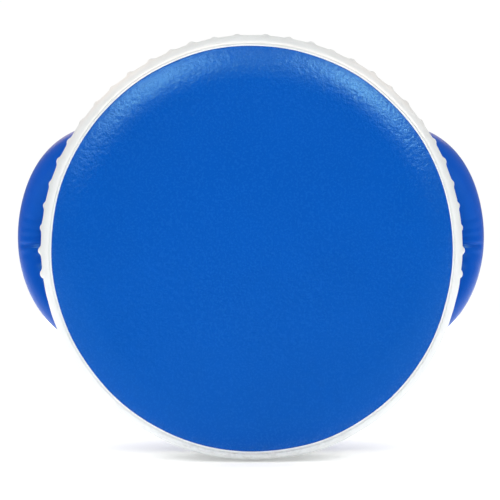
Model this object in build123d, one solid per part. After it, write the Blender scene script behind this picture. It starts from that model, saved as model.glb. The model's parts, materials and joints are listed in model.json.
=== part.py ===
"""A round kick shield: a foam drum in a sewn cover, with two padded arm loops and two hand grips.

Frame, in millimetres: +Z up, +X to the right of someone who faces the strike face, +Y towards the holder.
The shield stands on its rim. The origin is on the floor, below the plane of the back cover's outer face.
Every part writes one STEP file to parts/, named after its node.
"""

import os
from math import asin, cos, degrees, radians, sin

from build123d import *

# ---- driving dimensions -------------------------------------------------------------------------
SEAM_R = 230.0  # front seam, where the strike face meets the gusset
RIM_R = 248.0  # widest radius of the swollen gusset
BODY_DEPTH = 110.0  # front seam to the back cover
CROWN = 16.0  # how far the strike face stands proud of its seam
FOOT_SQUASH = 2.0  # how far the rim flattens where the shield stands on it
COVER_T = 1.2  # coated fabric
SKIN_GAP = 0.15  # foam to cover

LOOP_SPREAD = 158.5  # hinge line of an arm loop, from the middle of the shield
LOOP_RISE = 9.0  # the arm loops' middle, above the shield's axis
LOOP_HALF_H = 106.0  # half the height of an arm loop's centreline
LOOP_LEAD = 20.0  # straight, pinched start of the roll
LOOP_LIFT = 18.0  # hinge line above the back cover
LOOP_ROLL_R = 29.0  # outer radius of the stuffed roll
LOOP_END_R = 16.5  # radius of its gathered round end
LOOP_SKIN_T = 1.0
LOOP_STRAP = (25.0, 2.5)  # width and thickness of the webbing inside it

GRIP_SPREAD = 70.0  # grips, from the middle of the shield
GRIP_HALF_SPAN = 70.0  # where a grip strap lands on its hinge line
GRIP_STANDOFF = 47.0  # middle of the grip above the back cover
GRIP_R = 15.0
GRIP_HALF_LENGTH = 46.0
GRIP_STRAP = (20.0, 3.0)
GRIP_BEND_R = 14.0  # corners of the strap's arch
GRIP_HINGE_Y = 10.0
GRIP_BARREL_R, GRIP_BARREL_LENGTH = 5.0, 26.0  # the strap's rolled end, which turns in its tunnel

PANEL_HALF = (108.0, 112.0)  # handle panel, half width and half height
PANEL_T, PANEL_CORNER_R = 1.2, 24.0

ZIP_R = 226.0  # the zip follows this circle round the bottom of the back cover
ZIP_HALF_ANGLE = 46.0  # half of the zip's slot, either side of straight down
ZIP_SLOT_HALF_W = 7.5

# ---- derived dimensions -------------------------------------------------------------------------
AXIS_Z = RIM_R - FOOT_SQUASH
SEAM_Y = -BODY_DEPTH
FRONT_Y = SEAM_Y - CROWN
HANDS_Z = AXIS_Z + LOOP_RISE
LOOP_REACH = LOOP_LEAD + LOOP_HALF_H
# The loops lean out so far that they reach as far behind the back cover as the face is in front of it.
LOOP_TILT = degrees(asin((-FRONT_Y - LOOP_ROLL_R - LOOP_LIFT) / LOOP_REACH))

DOME_FLAT_R = 190.0  # the strike face is nearly flat inside this radius
DOME_DROP = 4.0  # and has dropped this far at it
WIDEST_Y = (-66.0, -14.0)  # the gusset is at its widest between these depths
BACK_SEAM_R = 243.5

PIPING_R = 2.4
FRONT_PIPING = (SEAM_R + 0.8, SEAM_Y - 0.8)  # radius and depth of each cord's own circle
REAR_PIPING = (BACK_SEAM_R - 0.3, -0.5)
FIT_GAP = 0.1  # between sewn parts that lie against each other
PIVOT_GAP = 0.08  # between a turning part and its bore
BACK_COVER_R = 242.0
ANCHOR_R, ANCHOR_T = 34.0, 3.2  # round patch under each end of an arm loop
ANCHOR_CUP_GAP = 0.3
TUNNEL_LENGTH, TUNNEL_WALL = 20.0, 2.2  # webbing tunnel that holds an end of the grip strap
TUNNEL_OFFSET = 15.0  # its middle, beyond where the strap lands
GRIP_PATCH = (40.0, 44.0, 1.6)  # width, height and thickness
GRIP_PATCH_CORNER_R = 6.0
GRIP_END_ROUND = 5.0  # rounded ends of the padded sleeve
GRIP_SLEEVE_END = 8.0  # strap that shows past each end of the sleeve, before its bend
BARREL_OVERLAP = 4.0  # how far a barrel reaches back past the strap's landing

TAPE_T, TAPE_Y = 0.9, -2.2
TAPE_TOP = TAPE_Y + TAPE_T
TAPE_W, TAPE_SPLIT = 13.6, 0.4
TAPE_OVERRUN_DEG = 1.0  # tape past each end of the slot
CHAIN_HALF_W, CHAIN_TOP = 3.4, 1.2
CHAIN_HALF_ANGLE = ZIP_HALF_ANGLE - 1.5
STOP_HALF_W, STOP_TOP, STOP_DEG = 4.2, 1.8, 1.2
TAB_HALF_W, TAB_T, TAB_DEG = 9.5, 1.0, (0.2, 4.2)  # tabs over the slot's ends, from and to past its end
SLIDER_HALF_W, SLIDER_HALF_DEG, SLIDER_TOP = 5.6, 1.8, 3.0
SLIDER_GAP = 0.3  # round the chain
EAR_X, EAR_SIZE, EAR_DROP = 4.2, (1.2, 5.0, 4.6), 1.0  # the two ears that hold the pull's pin
PULL_PIN_R, PULL_PIN_Y, PULL_EYE_R = 1.0, 5.5, 2.1
PULL_LENGTH, PULL_W, PULL_T = 26.0, 6.0, 1.6
SLIDER_REST_DEG = 41.5  # the slider's place at rest, from straight down towards +X

# Foam layers, back to front: node name and the y where each one ends.
FOAM_BACK_Y = TAPE_Y - SKIN_GAP
FOAM_LAYERS = [
    ("back_board", FOAM_BACK_Y - 10.0),
    ("core_foam", -72.0),
    ("impact_foam", -98.0),
    ("strike_foam", FRONT_Y - 1.0),
]

FAR = 700.0  # a size well past the whole shield


def save(shape, name):
    """Writes one node, after a check that it holds at least one valid solid."""
    solids = shape.solids()
    assert solids and all(s.is_valid for s in solids), name
    whole = Compound(children=list(solids)) if len(solids) > 1 else solids[0]
    export_step(whole, f"parts/{name}.step")


def both_sides(shape, name):
    """Writes a part of the +X side, and its mirror image on the other side."""
    save(shape, name + "_right")
    save(mirror(shape, about=Plane.YZ), name + "_left")


def slab(y_from, y_to, z_from=-FAR):
    """Everything between two depths, above a height."""
    return Pos(0, (y_from + y_to) / 2, z_from + FAR) * Box(2 * FAR, y_to - y_from, 2 * FAR)


def on_axis(shape):
    """Lifts a shape that was made round the Y axis to the drum's own axis."""
    return Pos(0, 0, AXIS_Z) * shape


# ---- drum: cover and foam -----------------------------------------------------------------------
def drum_section():
    """The whole cross-section of the drum, both sides of its axis, in x and y."""
    crown = (0, FRONT_Y)
    flat = (DOME_FLAT_R, FRONT_Y + DOME_DROP)
    face = ThreePointArc((-flat[0], flat[1]), crown, flat)
    edge = TangentArc(flat, (SEAM_R, SEAM_Y), tangent=face % 1)
    widest = Line(*[(RIM_R, y) for y in WIDEST_Y])
    swell = TangentArc(widest @ 0, (SEAM_R, SEAM_Y), tangent=(0, -1))
    tuck = TangentArc(widest @ 1, (BACK_SEAM_R, 0), tangent=(0, 1))
    right = [edge, swell, widest, tuck]
    left = [mirror(e, about=Plane.YZ) for e in right]
    back = Line((-BACK_SEAM_R, 0), (BACK_SEAM_R, 0))
    return make_face([face, *right, *left, back])


def drum(inset):
    """The drum's volume, a constant distance inside its outer surface, flattened where it stands."""
    section = offset(drum_section(), amount=-inset, kind=Kind.INTERSECTION) if inset else drum_section()
    half = section & (Pos(FAR / 2, 0) * Rectangle(FAR, FAR))
    whole = on_axis(revolve(half, axis=Axis.Y))
    return whole & slab(-FAR, FAR, z_from=inset)


def ring(radius, y, thickness_r):
    return on_axis(Pos(0, y, 0) * Rot(90, 0, 0) * Torus(radius, thickness_r))


def disc(radius, y_from, y_to):
    return on_axis(Pos(0, (y_from + y_to) / 2, 0) * Rot(90, 0, 0) * Cylinder(radius, y_to - y_from))


def sector(r_from, r_to, y_from, y_to, deg_from, deg_to):
    """A flat ring segment about the drum's axis. Angles are from straight down, positive towards +X."""
    outer = Cylinder(r_to, y_to - y_from)
    inner = Cylinder(r_from, y_to - y_from)
    section = Plane.XZ * Pos(FAR / 2, 0) * Rectangle(FAR, 3 * FAR)
    flat = (outer - inner) & revolve(section, axis=Axis.Z, revolution_arc=deg_to - deg_from)
    # Rot X by 90 lays the ring in XZ; its local angle a then points to (cos a, sin a) in x and z.
    stood = Pos(0, (y_from + y_to) / 2, 0) * Rot(90, 0, 0) * Rot(0, 0, deg_from - 90) * flat
    return on_axis(stood)


def zip_band(half_w, y_from, y_to, deg_from, deg_to):
    """A segment of the zip's own circle, a half width either side of it."""
    return sector(ZIP_R - half_w, ZIP_R + half_w, y_from, y_to, deg_from, deg_to)


def build_drum():
    shell = drum(0) - drum(COVER_T)
    front_room = ring(*FRONT_PIPING, PIPING_R + FIT_GAP)
    rear_room = ring(*REAR_PIPING, PIPING_R + FIT_GAP)
    piping_room = front_room + rear_room

    strike_cover = (shell & slab(-FAR, SEAM_Y - FIT_GAP)) - front_room
    behind_seam = shell & slab(SEAM_Y + FIT_GAP, FAR)
    side_gusset = behind_seam - disc(BACK_COVER_R + FIT_GAP, -2 * COVER_T, FAR) - piping_room
    # The largest solid, without the hem's offcut inside the piping.
    side_gusset = side_gusset.solids().sort_by(SortBy.VOLUME)[-1]
    slot = zip_band(ZIP_SLOT_HALF_W, -FAR, FAR, -ZIP_HALF_ANGLE, ZIP_HALF_ANGLE)
    back_cover = disc(BACK_COVER_R, -COVER_T, 0) - slot - rear_room

    save(strike_cover, "strike_cover")
    save(side_gusset, "side_gusset")
    save(back_cover, "back_cover")
    save(ring(*FRONT_PIPING, PIPING_R), "front_piping")
    save(ring(*REAR_PIPING, PIPING_R), "rear_piping")

    foam = drum(COVER_T + SKIN_GAP) - piping_room
    layer_back = FOAM_BACK_Y
    for name, layer_front in FOAM_LAYERS:
        save(foam & slab(layer_front, layer_back), name)
        layer_back = layer_front


# ---- zip round the bottom of the back cover -----------------------------------------------------
def build_zip():
    reach = ZIP_HALF_ANGLE + TAPE_OVERRUN_DEG
    inner_tape = sector(ZIP_R - TAPE_SPLIT - TAPE_W, ZIP_R - TAPE_SPLIT, TAPE_Y, TAPE_TOP, -reach, reach)
    outer_tape = sector(ZIP_R + TAPE_SPLIT, ZIP_R + TAPE_SPLIT + TAPE_W, TAPE_Y, TAPE_TOP, -reach, reach)
    save(inner_tape + outer_tape, "zip_tapes")
    save(zip_band(CHAIN_HALF_W, TAPE_TOP, CHAIN_TOP, -CHAIN_HALF_ANGLE, CHAIN_HALF_ANGLE), "zip_chain")

    stop_end = CHAIN_HALF_ANGLE + STOP_DEG
    right_stop = zip_band(STOP_HALF_W, TAPE_TOP, STOP_TOP, CHAIN_HALF_ANGLE, stop_end)
    left_stop = zip_band(STOP_HALF_W, TAPE_TOP, STOP_TOP, -stop_end, -CHAIN_HALF_ANGLE)
    save(right_stop + left_stop, "zip_stops")

    tab_start, tab_end = (ZIP_HALF_ANGLE + a for a in TAB_DEG)
    right_tab = zip_band(TAB_HALF_W, 0, TAB_T, tab_start, tab_end)
    left_tab = zip_band(TAB_HALF_W, 0, TAB_T, -tab_end, -tab_start)
    save(right_tab + left_tab, "zip_end_tabs")


def build_slider():
    rest, half = SLIDER_REST_DEG, SLIDER_HALF_DEG
    body = zip_band(SLIDER_HALF_W, TAPE_TOP + SLIDER_GAP, SLIDER_TOP, rest - half, rest + half)
    channel_top = CHAIN_TOP + SLIDER_GAP
    channel = zip_band(CHAIN_HALF_W + SLIDER_GAP, -FAR, channel_top, rest - 2 * half, rest + 2 * half)
    # A frame at the slider: x out along the radius, y along the chain, z away from the back.
    outward = (sin(radians(rest)), 0, -cos(radians(rest)))
    at = Plane(
        origin=(ZIP_R * outward[0], 0, AXIS_Z + ZIP_R * outward[2]),
        x_dir=outward,
        z_dir=(0, 1, 0),
    )
    pin = at * Pos(0, 0, PULL_PIN_Y) * Rot(0, 90, 0) * Cylinder(PULL_PIN_R, 2 * EAR_X)
    slider = (body - channel) + pin
    for side in (1, -1):
        slider += at * Pos(side * EAR_X, 0, PULL_PIN_Y - EAR_DROP) * Box(*EAR_SIZE)
    save(slider, "zip_slider_body")

    # The tab lies along the chain, on the side of straight down.
    eye = Rot(0, 90, 0) * Cylinder(PULL_EYE_R, PULL_W)
    down = -1 if at.y_dir.Z > 0 else 1
    tab = Pos(0, down * PULL_LENGTH / 2, 0) * Box(PULL_W, PULL_LENGTH, PULL_T)
    end = Pos(0, down * PULL_LENGTH, 0) * Cylinder(PULL_W / 2, PULL_T)
    bore = Rot(0, 90, 0) * Cylinder(PULL_PIN_R + PIVOT_GAP, 2 * PULL_W)
    save(at * Pos(0, 0, PULL_PIN_Y) * (eye + tab + end - bore), "zip_pull_tab")


# ---- arm loops ----------------------------------------------------------------------------------
def loop_frame():
    """Where the +X loop is: local x out along the leaning plane, local z up, origin on the hinge line."""
    return Pos(LOOP_SPREAD, LOOP_LIFT, HANDS_Z) * Rot(0, 0, LOOP_TILT)


def loop_roll(roll_r, end_r):
    """The stuffed roll in its own frame: two gathered ends, two pinched leads and a half turn."""
    half_turn = Pos(LOOP_LEAD, 0, LOOP_HALF_H) * Rot(0, 90, 0) * Circle(roll_r)
    bend = Axis((LOOP_LEAD, 0, 0), (0, 1, 0))
    roll = revolve(half_turn, axis=bend, revolution_arc=180)
    for side in (1, -1):
        lead = Pos(LOOP_LEAD / 2, 0, side * LOOP_HALF_H) * Rot(0, 90, 0) * Cone(end_r, roll_r, LOOP_LEAD)
        roll += lead
        roll += Pos(0, 0, side * LOOP_HALF_H) * Sphere(end_r)
    return roll


def loop_strap(grow=0.0):
    """The webbing that carries the load, along the roll's centreline."""
    width, thickness = (s + 2 * grow for s in LOOP_STRAP)
    band = Pos(LOOP_LEAD, 0, LOOP_HALF_H) * Rot(0, 90, 0) * Rectangle(thickness, width)
    strap = revolve(band, axis=Axis((LOOP_LEAD, 0, 0), (0, 1, 0)), revolution_arc=180)
    tail = LOOP_LEAD + LOOP_END_R / 2 + grow
    for side in (1, -1):
        strap += Pos(LOOP_LEAD - tail / 2, 0, side * LOOP_HALF_H) * Box(tail, width, thickness)
    return strap


def build_arm_loops():
    at = loop_frame()
    lining = loop_roll(LOOP_ROLL_R - LOOP_SKIN_T, LOOP_END_R - LOOP_SKIN_T)
    skin = loop_roll(LOOP_ROLL_R, LOOP_END_R) - lining
    foam_inset = LOOP_SKIN_T + FIT_GAP
    foam = loop_roll(LOOP_ROLL_R - foam_inset, LOOP_END_R - foam_inset) - loop_strap(FIT_GAP)
    both_sides(at * skin, "arm_loop_cover")
    both_sides(at * foam, "arm_loop_foam")
    both_sides(at * loop_strap(), "arm_loop_strap")

    # The upper patch and the lower one are separate solids of one node.
    patches = []
    for side in (1, -1):
        end_z = HANDS_Z + side * LOOP_HALF_H
        patch = Pos(LOOP_SPREAD, ANCHOR_T / 2, end_z) * Rot(90, 0, 0) * Cylinder(ANCHOR_R, ANCHOR_T)
        patches.append(patch - Pos(LOOP_SPREAD, LOOP_LIFT, end_z) * Sphere(LOOP_END_R + ANCHOR_CUP_GAP))
    both_sides(patches[0] + patches[1], "arm_loop_anchors")


# ---- hand grips ---------------------------------------------------------------------------------
def grip_band(thickness, width):
    """The grip's strap: an arch of webbing from one hinge barrel to the other, round x = GRIP_SPREAD."""
    land = (GRIP_HINGE_Y, GRIP_HALF_SPAN)
    top = (GRIP_STANDOFF, GRIP_HALF_LENGTH + GRIP_SLEEVE_END)
    path = FilletPolyline(land, top, (top[0], -top[1]), (land[0], -land[1]), radius=GRIP_BEND_R)
    flat = trace(path, line_width=thickness)
    # The sketch's x is depth and its y is height.
    upright = Plane(origin=(GRIP_SPREAD, 0, HANDS_Z), x_dir=(0, 1, 0), z_dir=(1, 0, 0))
    return upright * extrude(flat, amount=width / 2, both=True)


def grip_roll(inset):
    """The padded sleeve's volume, a constant distance inside its outer surface."""
    body = Cylinder(GRIP_R - inset, 2 * (GRIP_HALF_LENGTH - inset))
    end_round = GRIP_END_ROUND - min(inset, LOOP_SKIN_T)
    body = fillet(body.edges().filter_by(GeomType.CIRCLE), end_round)
    return Pos(GRIP_SPREAD, GRIP_STANDOFF, HANDS_Z) * body


def grip_anchor(z):
    """A sewn patch with a webbing tunnel on it, bored for a barrel of the strap."""
    patch_w, patch_h, patch_t = GRIP_PATCH
    patch = Pos(GRIP_SPREAD, PANEL_T + patch_t / 2, z) * Box(patch_w, patch_t, patch_h)
    patch = fillet(patch.edges().filter_by(Axis.Y), GRIP_PATCH_CORNER_R)
    tunnel_r = GRIP_BARREL_R + TUNNEL_WALL
    saddle_y = (PANEL_T + GRIP_HINGE_Y) / 2
    tunnel = Pos(GRIP_SPREAD, saddle_y, z) * Box(2 * tunnel_r, GRIP_HINGE_Y - PANEL_T, TUNNEL_LENGTH)
    tunnel += Pos(GRIP_SPREAD, GRIP_HINGE_Y, z) * Cylinder(tunnel_r, TUNNEL_LENGTH)
    bore = Pos(GRIP_SPREAD, GRIP_HINGE_Y, z) * Cylinder(GRIP_BARREL_R + PIVOT_GAP, 4 * TUNNEL_LENGTH)
    return patch + (tunnel - bore)


def build_grips():
    width, thickness = GRIP_STRAP
    strap = grip_band(thickness, width)
    barrel_offset = GRIP_HALF_SPAN + GRIP_BARREL_LENGTH / 2 - BARREL_OVERLAP
    for side in (1, -1):
        barrel = Cylinder(GRIP_BARREL_R, GRIP_BARREL_LENGTH)
        strap += Pos(GRIP_SPREAD, GRIP_HINGE_Y, HANDS_Z + side * barrel_offset) * barrel
    both_sides(strap, "grip_strap")

    strap_room = grip_band(thickness + 2 * FIT_GAP, width + 2 * FIT_GAP)
    both_sides(grip_roll(0) - grip_roll(LOOP_SKIN_T) - strap_room, "grip_cover")
    both_sides(grip_roll(LOOP_SKIN_T + FIT_GAP) - strap_room, "grip_foam")

    tunnel_offset = GRIP_HALF_SPAN + TUNNEL_OFFSET
    both_sides(grip_anchor(HANDS_Z + tunnel_offset) + grip_anchor(HANDS_Z - tunnel_offset), "grip_anchors")


def build_handle_panel():
    panel = Pos(0, PANEL_T / 2, HANDS_Z) * Box(2 * PANEL_HALF[0], PANEL_T, 2 * PANEL_HALF[1])
    save(fillet(panel.edges().filter_by(Axis.Y), PANEL_CORNER_R), "handle_panel")


os.makedirs("parts", exist_ok=True)
build_drum()
build_zip()
build_slider()
build_arm_loops()
build_grips()
build_handle_panel()
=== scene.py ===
"""Looks of a round kick shield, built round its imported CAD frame.

Metres, +Z up, the strike face towards -Y. Angles round the drum are from +X, positive towards +Z.
"""

import json
import math
import random

import bmesh
import bpy
import numpy as np
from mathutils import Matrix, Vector


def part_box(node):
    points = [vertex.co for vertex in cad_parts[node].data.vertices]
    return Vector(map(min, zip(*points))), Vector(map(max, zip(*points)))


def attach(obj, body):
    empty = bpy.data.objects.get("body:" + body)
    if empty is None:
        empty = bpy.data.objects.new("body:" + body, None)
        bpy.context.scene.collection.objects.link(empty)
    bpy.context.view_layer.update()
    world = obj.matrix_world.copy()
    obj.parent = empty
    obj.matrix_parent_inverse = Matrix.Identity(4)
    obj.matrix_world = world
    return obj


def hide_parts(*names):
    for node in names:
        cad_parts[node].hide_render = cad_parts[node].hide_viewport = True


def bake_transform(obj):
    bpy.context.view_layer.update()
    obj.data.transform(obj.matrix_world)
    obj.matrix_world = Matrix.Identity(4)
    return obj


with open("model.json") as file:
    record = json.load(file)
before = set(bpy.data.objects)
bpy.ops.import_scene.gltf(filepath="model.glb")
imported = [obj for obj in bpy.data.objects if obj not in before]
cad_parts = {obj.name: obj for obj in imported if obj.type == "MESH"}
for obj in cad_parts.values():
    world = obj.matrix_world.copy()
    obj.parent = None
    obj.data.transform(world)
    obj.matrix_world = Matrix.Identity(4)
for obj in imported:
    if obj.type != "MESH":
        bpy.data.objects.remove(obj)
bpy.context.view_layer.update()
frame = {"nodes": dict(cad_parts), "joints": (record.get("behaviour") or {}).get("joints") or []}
MM = 0.001
TURN = 2 * math.pi
SIDES = {"left": -1, "right": 1}
random.seed(7)

# ---- places and sizes, from the frame ------------------------------------------------------------
seam_low, seam_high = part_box("front_piping")
face_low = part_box("strike_cover")[0]
gusset_low, gusset_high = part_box("side_gusset")
back_low, back_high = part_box("back_cover")
roll_low, roll_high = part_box("arm_loop_cover_right")
joints = {j["name"]: j for j in frame["joints"]}

CORD_OUT, CORD_AHEAD = 3.2 * MM, 0.8 * MM  # how far the CAD piping stands outside the seam, and in front
AXIS_Z = (seam_low.z + seam_high.z) / 2
SEAM_R = (seam_high.x - seam_low.x) / 2 - CORD_OUT
SEAM_Y = (seam_low.y + seam_high.y) / 2 + CORD_AHEAD
CROWN_Y = face_low.y
BACK_Y = back_high.y
BACK_R = (back_high.x - back_low.x) / 2
WIDEST_R = (gusset_high.x - gusset_low.x) / 2
COVER_T = 1.2 * MM
BACKWARD = (0, 1, 0)

LOOP_HINGE = Vector(joints["arm_loop_right_swing"]["pos_m"])
LOOP_ROLL_R = 29 * MM
LOOP_END_R = 15.5 * MM
LOOP_SAG = 3.5 * MM
LOOP_FULL = 2.6 * MM  # its upper part is stuffed fuller
LOOP_HALF_H = (roll_high.z - roll_low.z) / 2 - LOOP_ROLL_R
LOOP_LEAD = 20 * MM
LOOP_REACH = LOOP_LEAD + LOOP_HALF_H
LOOP_TILT = math.acos((roll_high.x - LOOP_HINGE.x - LOOP_ROLL_R) / LOOP_REACH)

GRIP_HINGE = Vector(joints["grip_right_swing"]["pos_m"])
ZIP_R = 226 * MM
ZIP_HALF_ANGLE = math.radians(46)
ZIP_SLOT_HALF = 7.5 * MM


# ---- mesh helpers --------------------------------------------------------------------------------
def mesh_object(name, points, faces, smooth=True):
    """A mesh object from points and faces, with doubled points merged and its normals outward."""
    mesh = bpy.data.meshes.new(name)
    mesh.from_pydata([tuple(p) for p in points], [], [tuple(f) for f in faces])
    work = bmesh.new()
    work.from_mesh(mesh)
    bmesh.ops.remove_doubles(work, verts=work.verts, dist=1e-7)
    bmesh.ops.recalc_face_normals(work, faces=work.faces)
    work.to_mesh(mesh)
    work.free()
    mesh.polygons.foreach_set("use_smooth", [smooth] * len(mesh.polygons))
    obj = bpy.data.objects.new(name, mesh)
    bpy.context.scene.collection.objects.link(obj)
    return obj


def grid_faces(rows, columns, wrap_rows, wrap_columns, skip=None):
    """Quads of a rows by columns grid of points, each way open or wrapped round."""
    faces = []
    for i in range(rows if wrap_rows else rows - 1):
        for j in range(columns if wrap_columns else columns - 1):
            if skip is None or not skip(i, j):
                i2, j2 = (i + 1) % rows, (j + 1) % columns
                faces.append((i * columns + j, i * columns + j2, i2 * columns + j2, i2 * columns + j))
    return faces


def end_faces(rows, columns):
    """The two faces that close a tube of rows by columns points."""
    return [tuple(row * columns + k for k in range(columns)) for row in (0, rows - 1)]


def loft(name, rings, closed=False, ends=True):
    """A skin over rings of points: a closed loop of them, or a row with its two ends filled or left."""
    rings = np.asarray(rings)
    rows, columns = rings.shape[:2]
    faces = grid_faces(rows, columns, closed, True)
    if ends and not closed:
        faces += end_faces(rows, columns)
    return mesh_object(name, rings.reshape(-1, 3), faces)


def unwrap(obj, uv):
    """Gives a piece the UV map that the woven materials read: uv(point) is in metres."""
    layer = obj.data.uv_layers.new(name="UVMap")
    for loop in obj.data.loops:
        layer.data[loop.index].uv = uv(obj.data.vertices[loop.vertex_index].co)
    return obj


def band(name, edges, uv, smooth=False):
    """A strip of cloth or webbing from the lines along its edges, with filled ends and a UV map."""
    edges = np.asarray(edges)
    count, length = edges.shape[:2]
    faces = grid_faces(count, length, True, False)
    faces += [tuple(k * length + end for k in range(count)) for end in (0, length - 1)]
    return unwrap(mesh_object(name, edges.reshape(-1, 3), faces, smooth), uv)


def around(angle, radius, y):
    """Points round the drum's axis, as an array with x, y and z last."""
    angle, radius, y = np.broadcast_arrays(angle, radius, y)
    return np.stack([radius * np.cos(angle), y, AXIS_Z + radius * np.sin(angle)], -1)


def off_axis(point):
    return math.hypot(point.x, point.z - AXIS_Z)


def above(points, height):
    """The same points, with none of them lower than a height."""
    points[..., 2] = np.maximum(points[..., 2], height)
    return points


def unit(vectors):
    return vectors / np.maximum(np.linalg.norm(vectors, axis=-1, keepdims=True), 1e-12)


def distances(path):
    """How far along a path each of its points is."""
    return np.concatenate([[0], np.cumsum(np.linalg.norm(np.diff(path, axis=0), axis=1))])


def read_at(values, run, at):
    """Values that go with distances along a path, read at other distances."""
    return np.stack([np.interp(at, run, values[:, k]) for k in range(values.shape[1])], -1)


def respaced(path, count):
    """An open path with evenly spaced points."""
    run = distances(path)
    return read_at(path, run, np.linspace(0, run[-1], count))


def smoothstep(low, high, value):
    t = np.clip((np.asarray(value) - low) / (high - low), 0, 1)
    return t * t * (3 - 2 * t)


def wobble(angle, harmonics, seed):
    """A smooth random function round a circle, from -1 to 1 or so."""
    draw = random.Random(seed)
    total = np.zeros_like(angle)
    for n in harmonics:
        total += draw.uniform(0.4, 1) * np.cos(n * angle + draw.uniform(0, TURN))
    return total / math.sqrt(len(list(harmonics)))


def set_wear(obj, amount, none_at, full_at, measure):
    """The share of scuffs at each point, which the coated fabrics read."""
    at = np.array([measure(v.co) for v in obj.data.vertices])
    attribute = obj.data.attributes.new("wear", "FLOAT", "POINT")
    attribute.data.foreach_set("value", np.asarray(amount * smoothstep(none_at, full_at, at), np.float32))


def tube(name, path, radius, sides=12, closed=False):
    """A round tube along a path of points. radius is one number or one for each point."""
    path = np.asarray(path, float)
    radius = np.broadcast_to(radius, (len(path),))
    ahead = np.roll(path, -1, 0) - np.roll(path, 1, 0) if closed else np.gradient(path, axis=0)
    tangent = unit(ahead)
    least_along = np.zeros(3)
    least_along[int(np.argmin(np.abs(tangent).max(0)))] = 1
    side = unit(np.cross(tangent, least_along))
    other = np.cross(tangent, side)
    turn = (np.arange(sides) * TURN / sides)[None, :, None]
    ring = np.cos(turn) * side[:, None] + np.sin(turn) * other[:, None]
    return loft(name, path[:, None] + radius[:, None, None] * ring, closed)


# A stitch's rings: where along its length, and how thick and how high in thread radii.
STITCH = ((-0.5, 0.45, -1.35), (-0.25, 0.9, -0.15), (0, 1.0, 0.2), (0.25, 0.9, -0.15), (0.5, 0.45, -1.35))
STITCH_SIDES = 6
THREAD_R = 0.45 * MM


def stitches(name, path, normal, pitch=5 * MM, length=3.8 * MM):
    """Lengths of thread sewn along a path: each one dips into the cloth at both ends."""
    path, normal = np.asarray(path, float), np.broadcast_to(np.asarray(normal, float), np.shape(path))
    run = distances(path)
    count = max(1, int(run[-1] / pitch))
    middle = (np.arange(count) + 0.5) * run[-1] / count
    centre, up = read_at(path, run, middle), read_at(normal, run, middle)
    along = unit(read_at(path, run, middle + MM) - read_at(path, run, middle - MM))
    across = unit(np.cross(along, up))
    up = np.cross(across, along)
    turn = np.arange(STITCH_SIDES) * TURN / STITCH_SIDES
    reach, fat, lift = np.array(STITCH).T[..., None]
    shape = [length * reach, THREAD_R * fat * np.cos(turn), THREAD_R * (fat * np.sin(turn) + lift)]
    shape = np.stack(np.broadcast_arrays(*shape), -1).reshape(-1, 3)
    points = centre[:, None] + np.einsum("mk,ckx->cmx", shape, np.stack([along, across, up], 1))
    one = grid_faces(len(STITCH), STITCH_SIDES, False, True) + end_faces(len(STITCH), STITCH_SIDES)
    faces = [tuple(c * len(shape) + v for v in f) for c in range(count) for f in one]
    return mesh_object(name, points.reshape(-1, 3), faces)


def mirrored(obj, name):
    """The same mesh on the other side of the shield."""
    copy = bpy.data.objects.new(name, obj.data.copy())
    bpy.context.scene.collection.objects.link(copy)
    points = np.empty(len(copy.data.vertices) * 3)
    copy.data.vertices.foreach_get("co", points)
    points[::3] *= -1
    copy.data.vertices.foreach_set("co", points)
    copy.data.flip_normals()
    copy.data.update()
    return copy


def paint(obj, material):
    obj.data.materials.clear()
    obj.data.materials.append(material)
    return obj


def place(obj, material, body, *nodes, slot=None, fill=None):
    """Gives a finished piece its material and its body, and hides the CAD nodes it stands for. Its record
    slot is not used.
    """
    paint(obj, material)
    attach(obj, body)
    if nodes:
        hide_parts(*nodes)
    return obj


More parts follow.
